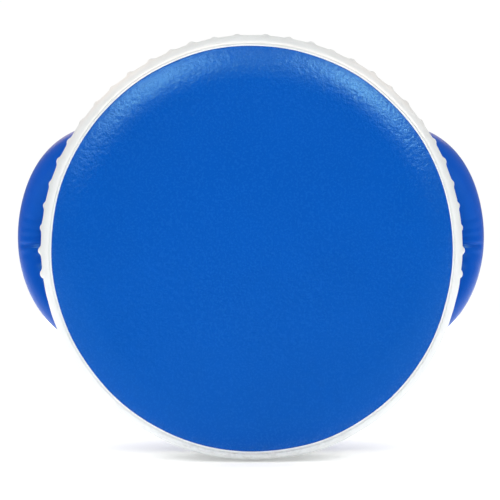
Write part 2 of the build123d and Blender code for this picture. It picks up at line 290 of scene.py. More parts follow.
# ---- materials -----------------------------------------------------------------------------------
class Surface:
    """One procedural material: a Principled shader with the nodes that drive it."""

    def __init__(self, name, colour, roughness, **sockets):
        self.material = bpy.data.materials.new(name)
        self.material.use_nodes = True
        self.tree = self.material.node_tree
        self.tree.nodes.clear()
        self.shader = self.tree.nodes.new("ShaderNodeBsdfPrincipled")
        output = self.tree.nodes.new("ShaderNodeOutputMaterial")
        self.tree.links.new(self.shader.outputs["BSDF"], output.inputs["Surface"])
        self.coordinates = self.tree.nodes.new("ShaderNodeTexCoord").outputs["Object"]
        self.colour = colour
        self.shader.inputs["Base Color"].default_value = (*colour, 1)
        self.shader.inputs["Roughness"].default_value = roughness
        for socket, value in sockets.items():
            self.shader.inputs[socket.replace("_", " ")].default_value = value
        self.bumps = []

    def add(self, kind, settings=None, **inputs):
        """A node, with its settings, and inputs (by name, or i0, i1...) that are numbers or outputs."""
        node = self.tree.nodes.new("ShaderNode" + kind)
        for key, value in (settings or {}).items():
            setattr(node, key, value)
        for key, value in inputs.items():
            socket = node.inputs[int(key[1:]) if key[1:].isdigit() else key.replace("_", " ")]
            if isinstance(value, bpy.types.NodeSocket):
                self.tree.links.new(value, socket)
            else:
                socket.default_value = value
        return node

    def stretched(self, scale):
        return self.add("Mapping", Vector=self.coordinates, Scale=scale).outputs["Vector"]

    def noise(self, scale, detail=3, roughness=0.5, vector=None):
        inputs = {"Scale": scale, "Detail": detail, "Roughness": roughness}
        return self.add("TexNoise", Vector=vector or self.coordinates, **inputs).outputs["Fac"]

    def cells(self, scale, feature="F1"):
        cells = self.add("TexVoronoi", {"feature": feature}, Vector=self.coordinates, Scale=scale)
        return cells.outputs["Distance"]

    def waves(self, direction, scale, vector, **inputs):
        wave = self.add("TexWave", {"bands_direction": direction}, Vector=vector, Scale=scale, **inputs)
        return wave.outputs["Fac"]

    def ramp(self, value, low, high, to_low=0.0, to_high=1.0):
        ranges = {"From_Min": low, "From_Max": high, "To_Min": to_low, "To_Max": to_high}
        return self.add("MapRange", Value=value, **ranges).outputs["Result"]

    def maths(self, operation, a, b):
        return self.add("Math", {"operation": operation}, i0=a, i1=b).outputs["Value"]

    def tint(self, share, colour):
        """Mixes a second colour into the base colour by a share that varies over the surface."""
        base = self.shader.inputs["Base Color"]
        under = base.links[0].from_socket if base.is_linked else tuple(base.default_value)
        mix = self.add("Mix", {"data_type": "RGBA"}, i6=under, i7=(*colour, 1), i0=share)
        self.tree.links.new(mix.outputs[2], base)
        return self

    def shine(self, value):
        self.tree.links.new(value, self.shader.inputs["Roughness"])
        return self

    def bump(self, height, strength, distance):
        inputs = {"Height": height, "Strength": strength, "Distance": distance}
        if self.bumps:
            inputs["Normal"] = self.bumps[-1]
        self.bumps.append(self.add("Bump", **inputs).outputs["Normal"])
        self.tree.links.new(self.bumps[-1], self.shader.inputs["Normal"])
        return self


def shade(colour, factor):
    return tuple(min(1, c * factor) for c in colour)


def coated_fabric(
    name, colour, roughness, grain=900, grain_depth=0.1 * MM, coat=0.0,
    scuff=None, gloss_tint=None, gloss=0.5, relief=0.04 * MM,
):
    """PU-coated fabric: fine leather grain, faint creasing, and a finish that is a little uneven."""
    s = Surface(name, colour, roughness, Coat_Weight=coat, Coat_Roughness=0.25, Specular_IOR_Level=gloss)
    if gloss_tint:
        s.shader.inputs["Specular Tint"].default_value = (*gloss_tint, 1)
    s.tint(s.ramp(s.noise(5, 4), 0.35, 0.7, 0, 0.35), shade(colour, 0.82))
    s.tint(s.ramp(s.noise(60, 5), 0.45, 0.8, 0, 0.08), shade(colour, 1.16))
    creases = s.cells(grain * 0.4, "DISTANCE_TO_EDGE")
    s.bump(s.noise(22, 3), 0.17, 0.5 * MM)
    s.bump(s.noise(230, 4, 0.6), 1.0, relief)
    s.bump(s.ramp(creases, 0, 0.25), 0.28, grain_depth)
    s.bump(s.cells(grain), 0.30, grain_depth)
    s.shine(s.ramp(s.noise(420, 3), 0.35, 0.65, roughness - 0.03, roughness + 0.05))
    if scuff:
        wear = s.add("Attribute", {"attribute_name": "wear"}).outputs["Fac"]
        worn = s.maths("MULTIPLY", wear, s.ramp(s.noise(140, 6, 0.7), 0.45, 0.75))
        s.tint(worn, scuff)
    return s.material


def foam(name, colour, pore=700):
    """Cut foam: open pores with painted shade in them, and a dull, dusty surface."""
    s = Surface(name, colour, 0.95)
    pores = s.cells(pore)
    # painted shade: each pore is darker towards its middle, where it is hollow
    s.tint(s.ramp(pores, 0.0, 0.35, 0.7, 0), shade(colour, 0.55))
    s.tint(s.ramp(s.noise(20, 4), 0.4, 0.7, 0, 0.4), shade(colour, 0.85))
    s.bump(pores, 0.6, 0.4 * MM)
    return s.material


WAVE = 20  # a wave texture of scale 1 turns through this many radians in a metre


def woven(name, colour, thread=1.6 * MM, roughness=0.8):
    """Flat webbing: ribs across the band and yarns along it, by the piece's own UV map in metres, with
    painted shade in the weave's hollows.
    """
    s = Surface(name, colour, roughness, Sheen_Weight=0.35, Sheen_Roughness=0.45)
    on_band = s.add("UVMap", {"uv_map": "UVMap"}).outputs["UV"]
    scale = TURN / thread / WAVE
    ribs = s.waves("X", scale, on_band, Distortion=1.0, Detail_Scale=40)
    yarns = s.waves("Y", scale / 0.7, on_band, Distortion=1.5, Detail_Scale=60)
    weave = s.maths("MULTIPLY", ribs, yarns)
    # painted shade: darker where the weave is low, in the hollows between ribs and yarns
    s.tint(s.ramp(weave, 0.0, 0.7, 0.75, 0), shade(colour, 0.35))
    s.tint(s.ramp(s.noise(90, 5), 0.5, 0.8, 0, 0.5), shade(colour, 1.9))
    s.bump(weave, 0.7, 0.35 * MM)
    return s.material


def thread(name, colour):
    """Twisted sewing thread, with painted shade in the grooves of its twist."""
    s = Surface(name, colour, 0.55, Sheen_Weight=0.3)
    twist = s.waves("DIAGONAL", 900, s.coordinates)
    # painted shade: darker in the grooves between the twist's plies
    s.tint(s.ramp(twist, 0, 1, 0.4, 0), shade(colour, 0.6))
    s.bump(twist, 0.5, 0.1 * MM)
    return s.material


def brushed_metal(name, colour):
    """Small die-cast and plated hardware, rubbed bright on its high spots."""
    s = Surface(name, colour, 0.32, Metallic=1.0)
    marks = s.noise(60, 6, 0.7, s.stretched((1, 1, 14)))
    s.shine(s.ramp(marks, 0.3, 0.7, 0.22, 0.42))
    s.tint(s.ramp(s.noise(300, 3), 0.45, 0.75, 0, 0.5), shade(colour, 0.7))
    s.bump(marks, 0.15, 0.05 * MM)
    return s.material


def moulded(name, colour, roughness=0.4):
    """Moulded plastic, faintly speckled."""
    s = Surface(name, colour, roughness)
    s.tint(s.ramp(s.noise(220, 4), 0.4, 0.7, 0, 0.4), shade(colour, 1.5))
    s.bump(s.noise(900, 2), 0.2, 0.05 * MM)
    s.shine(s.ramp(s.noise(120, 3), 0.3, 0.7, roughness - 0.08, roughness + 0.1))
    return s.material


BLUE = (0.0, 0.084, 0.46)
ROLL_BLUE = (0.0, 0.078, 0.49)
WHITE = (0.83, 0.86, 0.86)
BLACK = (0.007, 0.007, 0.008)
SCUFF = (0.06, 0.16, 0.50)
GLOSS = (0.14, 0.52, 0.76)
blue_face = coated_fabric(
    "blue_face", BLUE, 0.25, scuff=SCUFF, gloss_tint=GLOSS, gloss=0.45, relief=0.7 * MM
)
blue_roll = coated_fabric(
    "blue_roll", ROLL_BLUE, 0.31, gloss_tint=GLOSS, gloss=0.38, relief=0.15 * MM
)
blue_back = coated_fabric("blue_back", shade(BLUE, 0.9), 0.46, scuff=SCUFF, gloss_tint=GLOSS)
white_gusset = coated_fabric("white_gusset", WHITE, 0.42, scuff=(0.55, 0.56, 0.54))
white_piping = coated_fabric("white_piping", (0.88, 0.93, 0.94), 0.30, grain=1500, coat=0.2)
black_patch = coated_fabric("black_patch", BLACK, 0.40, grain=420, grain_depth=0.2 * MM, gloss=0.3)
black_grip = coated_fabric("black_grip", BLACK, 0.34, grain=500, grain_depth=0.15 * MM, gloss=0.4)
black_webbing = woven("black_webbing", (0.011, 0.011, 0.012))
tape_cloth = woven("tape_cloth", (0.016, 0.016, 0.018), thread=0.8 * MM)
inner_webbing = woven("inner_webbing", (0.05, 0.05, 0.055))
white_thread = thread("white_thread", (0.75, 0.76, 0.75))
blue_thread = thread("blue_thread", (0.02, 0.10, 0.42))
steel = brushed_metal("steel", (0.62, 0.62, 0.63))
black_teeth = moulded("black_teeth", (0.02, 0.02, 0.022))
sponge = foam("sponge", (0.75, 0.68, 0.45), 500)
eva = foam("eva", (0.50, 0.50, 0.48), 1500)
core = foam("core", (0.62, 0.62, 0.60), 800)
board = foam("board", (0.10, 0.10, 0.10), 1800)


# ---- drum ----------------------------------------------------------------------------------------
FACE_WIDTH, FACE_HEIGHT = 0.9995, 1.0105  # the face is a little taller than it is wide
FULLER_AT, FULLER_BY = math.radians(308), 2.2 * MM  # and its outline is fuller at the lower right
FLAT_R = 190 * MM
FLAT_DROP = 4 * MM


def seam_radius(angle):
    """The seam round the strike face: a little taller than wide, with faint flats along it."""
    stretch = np.hypot(FACE_WIDTH * np.cos(angle), FACE_HEIGHT * np.sin(angle))
    fuller = FULLER_BY * np.exp(7 * (np.cos(angle - FULLER_AT) - 1))
    return SEAM_R * stretch + fuller + 0.40 * MM * wobble(angle, range(5, 20, 3), 3)


def dome_depth(radius):
    """y of the strike face: nearly flat in the middle, then an arc down to the seam."""
    middle = CROWN_Y + FLAT_DROP * (radius / FLAT_R) ** 2
    slope = math.atan(2 * FLAT_DROP / FLAT_R)
    across, down = SEAM_R - FLAT_R, SEAM_Y - (CROWN_Y + FLAT_DROP)
    bend = math.atan2(down, across) - slope
    edge_r = math.hypot(across, down) / (2 * math.sin(bend))
    centre_r = FLAT_R - edge_r * math.sin(slope)
    centre_y = CROWN_Y + FLAT_DROP + edge_r * math.cos(slope)
    edge = centre_y - np.sqrt(np.maximum(edge_r**2 - (radius - centre_r) ** 2, 0))
    return np.where(radius < FLAT_R, middle, edge)


def strike_face():
    angle = np.arange(640) * TURN / 640
    share = np.concatenate([np.linspace(0, 0.8, 26), np.linspace(0.8, 1, 34)[1:]])
    seam = seam_radius(angle)
    puckers = 0.30 * MM * wobble(angle, range(60, 190, 9), 11)
    dents = 0.35 * MM * wobble(angle, range(2, 9), 5)
    rows = []
    for t in share:
        near_seam = np.exp(-(1 - t) * SEAM_R / (9 * MM))
        soft = dents * smoothstep(0.2, 0.7, t) * (1 - near_seam)
        rim = puckers * near_seam * (1 - near_seam * 0.6)
        rows.append(around(angle, t * seam, dome_depth(t * SEAM_R) + soft + rim))
    # The cover folds under the piping, and its back face returns to the middle.
    rows.append(around(angle, seam - 0.3 * MM, SEAM_Y + 1.6 * MM))
    for t in share[::-4]:
        inner = t * (seam - 1.6 * MM)
        rows.append(around(angle, inner, dome_depth(inner) + COVER_T))
    obj = loft("strike_face", rows, ends=False)
    set_wear(obj, 0.3, 0.96 * SEAM_R, SEAM_R, off_axis)
    place(obj, blue_face, "shield", "strike_cover", slot="blue_coated_fabric", fill=0.95)


GATHER_FROM = math.radians(-7.5)  # the lowest gather in the back edge, on each side
GATHER_PITCH = math.radians(6.24)


def side_angle(angle):
    """The angle above the horizontal, the same on both sides."""
    half = np.where(np.cos(angle) < 0, math.pi - angle, angle)
    return np.where(half > math.pi, half - TURN, half)


def gathered(angle):
    """1 where the gusset's back edge is gathered and 0 below the lowest gather."""
    return smoothstep(GATHER_FROM - math.radians(2.0), GATHER_FROM - math.radians(1.2), side_angle(angle))


def gathers(angle, y):
    """How far the back edge of the gusset stands out: a lobe at each gather, the same on both sides."""
    draw = random.Random(21)
    lobes = int((math.pi / 2 - GATHER_FROM) / GATHER_PITCH)
    total = np.zeros(np.broadcast(angle, y).shape)
    half = side_angle(angle)
    for k in range(lobes + 1):
        at = GATHER_FROM + k * GATHER_PITCH + draw.uniform(-0.3, 0.3) * math.radians(1)
        height = {0: 3.6, 1: 3.6}.get(k, draw.uniform(1.8, 2.8)) * MM
        width = (5.2 if k == 0 else draw.uniform(3.6, 4.8)) * MM / WIDEST_R
        depth = draw.uniform(7, 10) * MM
        off = (half - at) / width
        lobe = np.exp(-(np.abs(off) ** 3)) * np.exp(-(((y + 8 * MM) / depth) ** 2))
        ripple = 0.22 * np.exp(-((off / 1.7) ** 2)) * smoothstep(-60 * MM, -20 * MM, y)
        total += height * (lobe + ripple)
    return total * gathered(angle) * smoothstep(1 * MM, -4 * MM, y)


SWELL_QUICK, SWELL_SLOW, SWELL_GATHERED = 13.6 * MM, 2.9 * MM, 1.8 * MM


def gusset_radius(angle, y):
    """The gusset swells quickly behind the front seam, then slowly, and tucks in to the back seam."""
    depth = (y - SEAM_Y) / (BACK_Y - SEAM_Y)
    quick = np.sqrt(np.clip(1 - (1 - np.clip(depth / 0.36, 0, 1)) ** 2, 0, 1))
    slow = smoothstep(0.15, 0.82, depth)
    radius = seam_radius(angle) * (1 - slow) + SEAM_R * slow + SWELL_QUICK * quick + SWELL_SLOW * slow
    radius = radius + SWELL_GATHERED * gathered(angle) * smoothstep(0.72, 0.86, depth)
    tuck = np.sqrt(np.clip(1 - np.clip((depth - 0.88) / 0.12, 0, 1) ** 2.2, 0, 1))
    back = BACK_R + 1.2 * MM
    return np.where(depth > 0.5, back + (radius - back) * tuck, radius)


def side_gusset():
    columns = 1000
    angle = (np.arange(columns) + 0.5) * TURN / columns
    front = np.linspace(SEAM_Y, -90 * MM, 8)
    middle = np.linspace(-90 * MM, -30 * MM, 9)[1:]
    back = np.linspace(-30 * MM, BACK_Y, 22)[1:]
    ripples = 0.24 * MM * wobble(angle, range(20, 90, 7), 8)
    rows = []
    for y in (*front, *middle, *back):
        drape = 0.15 * MM * wobble(angle, range(5, 40, 4), 31 + int(-y * 20))
        drape = drape * smoothstep(SEAM_Y, SEAM_Y + 20 * MM, y) + ripples * smoothstep(SEAM_Y, -50 * MM, y)
        radius = gusset_radius(angle, y) + gathers(angle, y) + drape
        rows.append(above(around(angle, radius, y), 0))
    for y in (BACK_Y - 1 * MM, -14 * MM, -40 * MM, -70 * MM, -95 * MM, SEAM_Y + 1.5 * MM):
        rows.append(above(around(angle, gusset_radius(angle, y) - COVER_T, y), COVER_T))
    obj = loft("gusset", rows, closed=True)
    set_wear(obj, 0.9, 60 * MM, 0, lambda point: point.z)
    place(obj, white_gusset, "shield", "side_gusset", slot="white_coated_fabric", fill=0.9)


def piping(name, node, radius_at, y, thickness, slot):
    angle = np.arange(720) * TURN / 720
    path = above(around(angle, radius_at(angle), y), thickness)
    place(tube(name, path, thickness, sides=14, closed=True), white_piping, "shield", node, slot=slot)


def back_cover():
    """The back cover, with a slot left open for the zip."""
    columns = 720
    step = TURN / columns
    angle = np.arange(columns) * step
    slot_in, slot_out = ZIP_R - ZIP_SLOT_HALF, ZIP_R + ZIP_SLOT_HALF
    radii = [0, 0.03, 0.06, 0.09, 0.12, 0.15, 0.175, 0.195, 0.21, slot_in - 2 * MM, slot_in]
    radii += [ZIP_R, slot_out, slot_out + 2 * MM, BACK_R]
    slot_rows = (radii.index(slot_in), radii.index(slot_out))
    waves = 0.1 * MM * wobble(angle, range(2, 12), 40)
    rings = []
    for r in radii:
        slack = waves * smoothstep(0.05, 0.15, r) * smoothstep(BACK_R, BACK_R - 0.03, r)
        rings.append(around(angle, r, BACK_Y - 0.1 * MM + slack))
    rings += [around(angle, r, BACK_Y - COVER_T) for r in radii]
    bottom, half_slot = columns * 3 // 4, round(ZIP_HALF_ANGLE / step)
    slot_ends = (bottom - half_slot, bottom + half_slot)

    def in_slot(i, j):
        return slot_rows[0] <= i < slot_rows[1] and slot_ends[0] <= j < slot_ends[1]

    faces = grid_faces(len(radii), columns, False, True, skip=in_slot)
    under = len(radii) * columns
    faces += [tuple(under + v for v in f[::-1]) for f in faces]
    rim = under - columns
    walls = [(rim + j, rim + (j + 1) % columns) for j in range(columns)]
    walls += [(row * columns + j, row * columns + j + 1) for j in range(*slot_ends) for row in slot_rows]
    walls += [(i * columns + j, (i + 1) * columns + j) for j in slot_ends for i in range(*slot_rows)]
    faces += [(a, b, under + b, under + a) for a, b in walls]
    obj = mesh_object("back_panel_cover", np.array(rings).reshape(-1, 3), faces)
    set_wear(obj, 0.35, 0.9 * BACK_R, BACK_R, off_axis)
    place(obj, blue_back, "shield", "back_cover", slot="back_coated_fabric", fill=0.9)


def foam_layers():
    """The foam that fills the drum, back to front, each cut a little smaller than the cover round it."""
    layers = {
        "back_board": (board, "board_foam"),
        "core_foam": (core, "core_foam"),
        "impact_foam": (eva, "impact_foam"),
        "strike_foam": (sponge, "soft_foam"),
    }
    angle = np.arange(256) * TURN / 256
    for node, (look, slot) in layers.items():
        low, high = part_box(node)
        rows = [(share, high.y) for share in (0, 0.5, 0.9, 0.985)]
        rows += [(1, y) for y in np.linspace(high.y - 1 * MM, max(low.y, SEAM_Y + 2 * MM) + 1 * MM, 6)]
        if low.y < SEAM_Y:  # this one fills the dome
            rows += [(share, None) for share in (0.985, 0.95, 0.9, 0.8, 0.6, 0.3, 0)]
        else:
            rows += [(share, low.y) for share in (0.985, 0.9, 0.5, 0)]
        rings = []
        for share, y in rows:
            if y is None:
                radius = share * (seam_radius(angle) - 2.5 * MM)
                y = dome_depth(radius) + COVER_T + 0.6 * MM
            else:
                cover = gusset_radius(angle, min(y, BACK_Y - 3 * MM))
                radius = share * (cover - COVER_T - 1.2 * MM)
            rings.append(above(around(angle, radius, y), COVER_T + 0.5 * MM))
        place(loft(f"{node}_block", rings, ends=False), look, "shield", node, slot=slot, fill=1.0)


def drum_stitching():
    path = around(np.linspace(0, TURN, 1500), BACK_R - 5 * MM, BACK_Y)
    place(stitches("back_seam_stitches", path, BACKWARD), white_thread, "shield")


# ---- zip -----------------------------------------------------------------------------------------
DOWN = -math.pi / 2


def zip_band(name, r_in, r_out, y_low, y_high, half_angle):
    """A flat curved band, mapped along it and across it."""
    angle = DOWN + np.linspace(-half_angle, half_angle, 241)
    corners = [(r_in, y_low), (r_in, y_high), (r_out, y_high), (r_out, y_low)]

    def uv(point):
        return math.atan2(point.x, AXIS_Z - point.z) * ZIP_R, off_axis(point) - r_in

    return band(name, [around(angle, r, y) for r, y in corners], uv)


def join(name, objects):
    """One object from several meshes."""
    bpy.ops.object.select_all(action="DESELECT")
    for o in objects:
        o.select_set(True)
    bpy.context.view_layer.objects.active = objects[0]
    bpy.ops.object.join()
    objects[0].name = objects[0].data.name = name
    return objects[0]


TEETH_PITCH = 2.6 * MM
TOOTH_HALF_LONG = 0.62 * MM
# A tooth's sections: how far across the zip's middle, and how wide. It swells at its tip.
TOOTH = ((-2.9, 0.7), (-1.2, 1.0), (0.5, 0.8), (0.9, 1.2), (1.5, 1.15), (1.8, 0.7))


def zip_teeth():
    """Moulded teeth: each one reaches between two of the other side's."""
    chain_half = ZIP_HALF_ANGLE - math.radians(1.5)
    count = int(2 * chain_half * ZIP_R / TEETH_PITCH)
    low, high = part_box("zip_chain")
    half_high, middle_y = (high.y - low.y) / 2 - 0.1 * MM, (low.y + high.y) / 2
    points, faces = [], []
    for side, shift in ((1, 0.75), (-1, 0.25)):
        for k in range(count):
            at = DOWN - chain_half + (k + shift) * 2 * chain_half / count
            base = len(points)
            for across, fat in TOOTH:
                r = ZIP_R + side * across * MM
                thick = half_high * (1 if -2 < across < 1.2 else 0.8)
                for du, dv in ((-1, -1), (-1, 1), (1, 1), (1, -1)):
                    turn = at + du * TOOTH_HALF_LONG * fat / ZIP_R
                    points.append((r * math.cos(turn), middle_y + dv * thick, AXIS_Z + r * math.sin(turn)))
            one = grid_faces(len(TOOTH), 4, False, True) + end_faces(len(TOOTH), 4)
            faces += [tuple(base + v for v in f) for f in one]
    return mesh_object("zip_teeth_row", points, faces, smooth=False)


def zipper():
    low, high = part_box("zip_tapes")
    reach = ZIP_HALF_ANGLE + math.radians(1)
    bands = [
        zip_band("tape_in", ZIP_R - 14 * MM, ZIP_R - 0.4 * MM, low.y, high.y, reach),
        zip_band("tape_out", ZIP_R + 0.4 * MM, ZIP_R + 14 * MM, low.y, high.y, reach),
    ]
    place(join("zip_tape_pair", bands), tape_cloth, "shield", "zip_tapes", slot="zip_tape")
    place(zip_teeth(), black_teeth, "shield", "zip_chain", slot="zip_teeth")
    soften("zip_slider_body", steel, 0.35 * MM)
    soften("zip_pull_tab", steel, 0.3 * MM)
    soften("zip_stops", steel, 0.25 * MM)
    soften("zip_end_tabs", blue_back, 0.3 * MM)
    angle = DOWN + np.linspace(-reach, reach, 400)
    for side, r in (("inner", ZIP_R - 10.5 * MM), ("outer", ZIP_R + 10.5 * MM)):
        line = around(angle, r, BACK_Y + 0.1 * MM)
        row = stitches(f"zip_{side}_stitches", line, BACKWARD, pitch=4.5 * MM, length=3.4 * MM)
        place(row, blue_thread, "shield")


def soften(name, material, width):
    """Gives a CAD part its material and small rounded edges. It keeps its own shape and place."""
    node = paint(frame["nodes"][name], material)
    bevel = node.modifiers.new("edges", "BEVEL")
    bevel.width = width
    bevel.segments = 2
    bevel.limit_method = "ANGLE"


# ---- sewn patches --------------------------------------------------------------------------------
def rounded_outline(half_w, half_h, corner, count, arc=40):
    """A rounded rectangle as evenly spaced x and z offsets from its middle."""
    corners = []
    for sx, sz, start in ((1, 1, 0), (-1, 1, 90), (-1, -1, 180), (1, -1, 270)):
        a = np.radians(start + 90 * np.arange(arc) / (arc - 1))
        x, z = sx * (half_w - corner), sz * (half_h - corner)
        corners.append(np.stack([x + corner * np.cos(a), z + corner * np.sin(a)], -1))
    outline = np.concatenate(corners)
    closed = np.vstack([outline, outline[:1]])
    run = distances(closed)
    return read_at(closed, run, np.arange(count) * run[-1] / count)


# A patch's rings: their share of its outline and of its height. Its edge is turned under and sewn down.
PATCH = ((1, 0.45), (0.992, 0.85), (0.975, 1), (0.955, 0.95), (0.93, 0.8), (0.9, 0.95), (0.86, 1), (0.8, 1))
PATCH += ((0.7, 1), (0.55, 1), (0.35, 1), (0.15, 1), (0, 1))


def patch(name, centre, outline, y_low, y_high, puff, dish=None):
    """A sewn patch whose middle is a little full, or dished: dish(points) gives a y to stay below."""

    def ring(share, y):
        flat = outline * share
        return np.stack([centre.x + flat[:, 0], np.full(len(flat), y), centre.z + flat[:, 1]], -1)

    rows = [ring(0, y_low), ring(1, y_low)]
    for share, high in PATCH:
        y = y_low + (y_high - y_low) * high + puff * (1 - share**6) * (high >= 0.95)
        rows.append(ring(share, y))
        if dish and share < 1:
            rows[-1][:, 1] = np.minimum(dish(rows[-1]), y)
    return loft(name, rows, ends=False)


def edge_stitches(centre, outline, insets, y, **size):
    """Rows of stitches at set distances inside a patch's outline."""
    rows = []
    half = np.abs(outline).max(0)
    for inset in insets:
        flat = outline * (half - inset) / half
        path = np.stack([centre.x + flat[:, 0], np.full(len(flat), y), centre.z + flat[:, 1]], -1)
        rows.append(stitches("row", np.vstack([path, path[:1]]), BACKWARD, **size))
    return rows


def handle_panel():
    low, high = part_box("handle_panel")
    centre = (low + high) / 2
    outline = rounded_outline((high.x - low.x) / 2, (high.z - low.z) / 2, 24 * MM, 240)
    obj = patch("handle_panel_patch", centre, outline, BACK_Y + 0.15 * MM, high.y, puff=0.2 * MM)
    place(obj, black_patch, "shield", "handle_panel", slot="panel_fabric")
    rows = edge_stitches(centre, outline, (5 * MM, 9 * MM), high.y - 0.1 * MM)
    place(join("handle_panel_stitches", rows), white_thread, "shield")


# ---- arm loops -----------------------------------------------------------------------------------
ROLL_ROWS, ROLL_SIDES = 190, 56
ROLL_SEAM = 21  # the column of points where the roll's cover is sewn shut, inside and behind


def loop_to_world(u, n, z):
    """From the +X loop's leaning plane (out along it, through it, up) to the row frame."""
    x = LOOP_HINGE.x + u * math.cos(LOOP_TILT) - n * math.sin(LOOP_TILT)
    y = LOOP_HINGE.y + u * math.sin(LOOP_TILT) + n * math.cos(LOOP_TILT)
    return np.stack([x, y, LOOP_HINGE.z + z], -1)


def roll_centreline(rows):
    """The roll's path from its lower end to its upper one: u, z, its direction and its radius."""
    start = -LOOP_END_R * 0.92
    lead = LOOP_LEAD - start
    arc = math.pi * LOOP_HALF_H
    distance = np.linspace(0, 2 * lead + arc, rows)
    turn = np.clip((distance - lead) / LOOP_HALF_H, 0, math.pi) - math.pi / 2
    u = LOOP_LEAD + LOOP_HALF_H * np.cos(turn)
    z = LOOP_HALF_H * np.sin(turn)
    before, after = distance < lead, distance > lead + arc
    u = np.where(before, start + distance, np.where(after, start + 2 * lead + arc - distance, u))
    z = z - LOOP_SAG * (np.maximum(u, 0) / LOOP_REACH) ** 2
    from_end = np.minimum(distance, distance[-1] - distance)
    ball = np.sqrt(np.clip(1 - (1 - np.clip(from_end / LOOP_END_R, 0, 1)) ** 2, 0, 1))
    flare = smoothstep(0.6 * LOOP_END_R, 2.9 * LOOP_END_R, from_end)
    radius = LOOP_END_R * ball + (LOOP_ROLL_R - LOOP_END_R) * flare
    radius = radius + LOOP_FULL * np.exp(-(((turn - 0.9) / 0.5) ** 2))
    return u, z, turn, np.maximum(radius, 0.4 * MM), from_end


def roll_points(rows, sides, shrink=0.0, bend=None):
    """The roll's skin in its own plane, rows by sides. bend: another rest curve's angle and radius."""
    u, z, turn, radius, _ = roll_centreline(rows)
    radius = np.maximum(radius - shrink, 0.3 * MM)
    around_roll = np.arange(sides)[None, :, None] * TURN / sides
    if bend:
        angle, bend_r = bend
        turn = turn * angle / math.pi
        half = np.where(np.arange(rows) < rows / 2, 1, -1)
        lead = np.maximum(LOOP_LEAD - u, 0) * (np.abs(turn) > angle / 2 - 1e-6)
        u = bend_r * np.cos(turn) - lead * np.sin(angle / 2)
        z = bend_r * np.sin(turn) + half * lead * np.cos(angle / 2)
    out = np.stack([np.cos(turn), np.zeros(rows), np.sin(turn)], -1)
    ring = np.cos(around_roll) * out[:, None] + np.sin(around_roll) * np.array(BACKWARD)
    centre = np.stack([u, np.zeros(rows), z], -1)
    return centre[:, None] + radius[:, None, None] * ring


def simulate(obj, rest, pinned, pressure, frames, cap):
    """Swells the skin as cloth, slack where the rest shape is longer, and keeps the result."""
    start = np.empty(len(obj.data.vertices) * 3)
    obj.data.vertices.foreach_get("co", start)
    obj.shape_key_add(name="Basis")
    key = obj.shape_key_add(name="rest")
    key.data.foreach_set("co", rest.reshape(-1))
    group = obj.vertex_groups.new(name="pinned")
    group.add([int(v) for v in pinned], 1.0, "REPLACE")
    cloth = obj.modifiers.new("cloth", "CLOTH")
    settings = cloth.settings
    settings.quality = 10
    settings.mass = 0.4
    settings.tension_stiffness = settings.compression_stiffness = 30
    settings.shear_stiffness = 8
    settings.bending_stiffness = 1.2
    settings.effector_weights.gravity = 0
    settings.use_pressure = True
    settings.uniform_pressure_force = pressure
    settings.vertex_group_mass = group.name
    settings.rest_shape_key = key
    cloth.collision_settings.use_collision = False
    cloth.point_cache.frame_start, cloth.point_cache.frame_end = 1, frames
    for f in range(1, frames + 1):
        bpy.context.scene.frame_set(f)
    graph = bpy.context.evaluated_depsgraph_get()
    done = bpy.data.meshes.new_from_object(obj.evaluated_get(graph))
    end = np.empty(len(done.vertices) * 3)
    done.vertices.foreach_get("co", end)
    obj.modifiers.remove(cloth)
    obj.shape_key_clear()
    bpy.context.scene.frame_set(1)
    move = (end - start).reshape(-1, 3)
    length = np.linalg.norm(move, axis=1, keepdims=True)
    move *= np.minimum(1, cap / np.maximum(length, 1e-9))
    obj.data.vertices.foreach_set("co", (start.reshape(-1, 3) + move).ravel())
    obj.data.update()


# Where the roll's inner side folds, as a share of its rows, and how deep in mm.
INNER_FOLDS = ((0.505, 0.7), (0.53, 0.5), (0.45, 0.5), (0.56, 0.4), (0.41, 0.3))
PINNED_ROWS = 14


def arm_roll_skin():
    """The +X roll's cover in its own plane: a stuffed tube whose inner side has cloth to spare."""
    points = roll_points(ROLL_ROWS, ROLL_SIDES, shrink=0.8 * MM)
    draw = np.random.default_rng(5)
    row = np.arange(ROLL_ROWS)[:, None]
    side = np.arange(ROLL_SIDES)[None, :]
    fold = 3.0 * np.exp(-(((row - 0.478 * ROLL_ROWS) / 0.9) ** 2))
    for at, deep in INNER_FOLDS:
        fold = fold + deep * np.exp(-(((row - at * ROLL_ROWS) / 1.8) ** 2))
    fold = fold * smoothstep(0.42, 0.05, np.cos(side * TURN / ROLL_SIDES))
    fold = fold + 1.1 * np.exp(-(((side - ROLL_SEAM) / 0.8) ** 2))
    outward = unit(points - points.mean(1, keepdims=True))
    points = points + outward * (draw.normal(0, 0.04 * MM, points.shape[:2]) - fold * MM)[..., None]
    obj = loft("arm_roll", points)
    rest = roll_points(ROLL_ROWS, ROLL_SIDES, bend=(math.radians(150), 121 * MM))
    every = np.arange(ROLL_ROWS * ROLL_SIDES)
    pinned = PINNED_ROWS * ROLL_SIDES
    ends = np.concatenate([every[:pinned], every[-pinned:]])
    simulate(obj, rest, ends, pressure=5.0, frames=20, cap=7 * MM)
    return obj


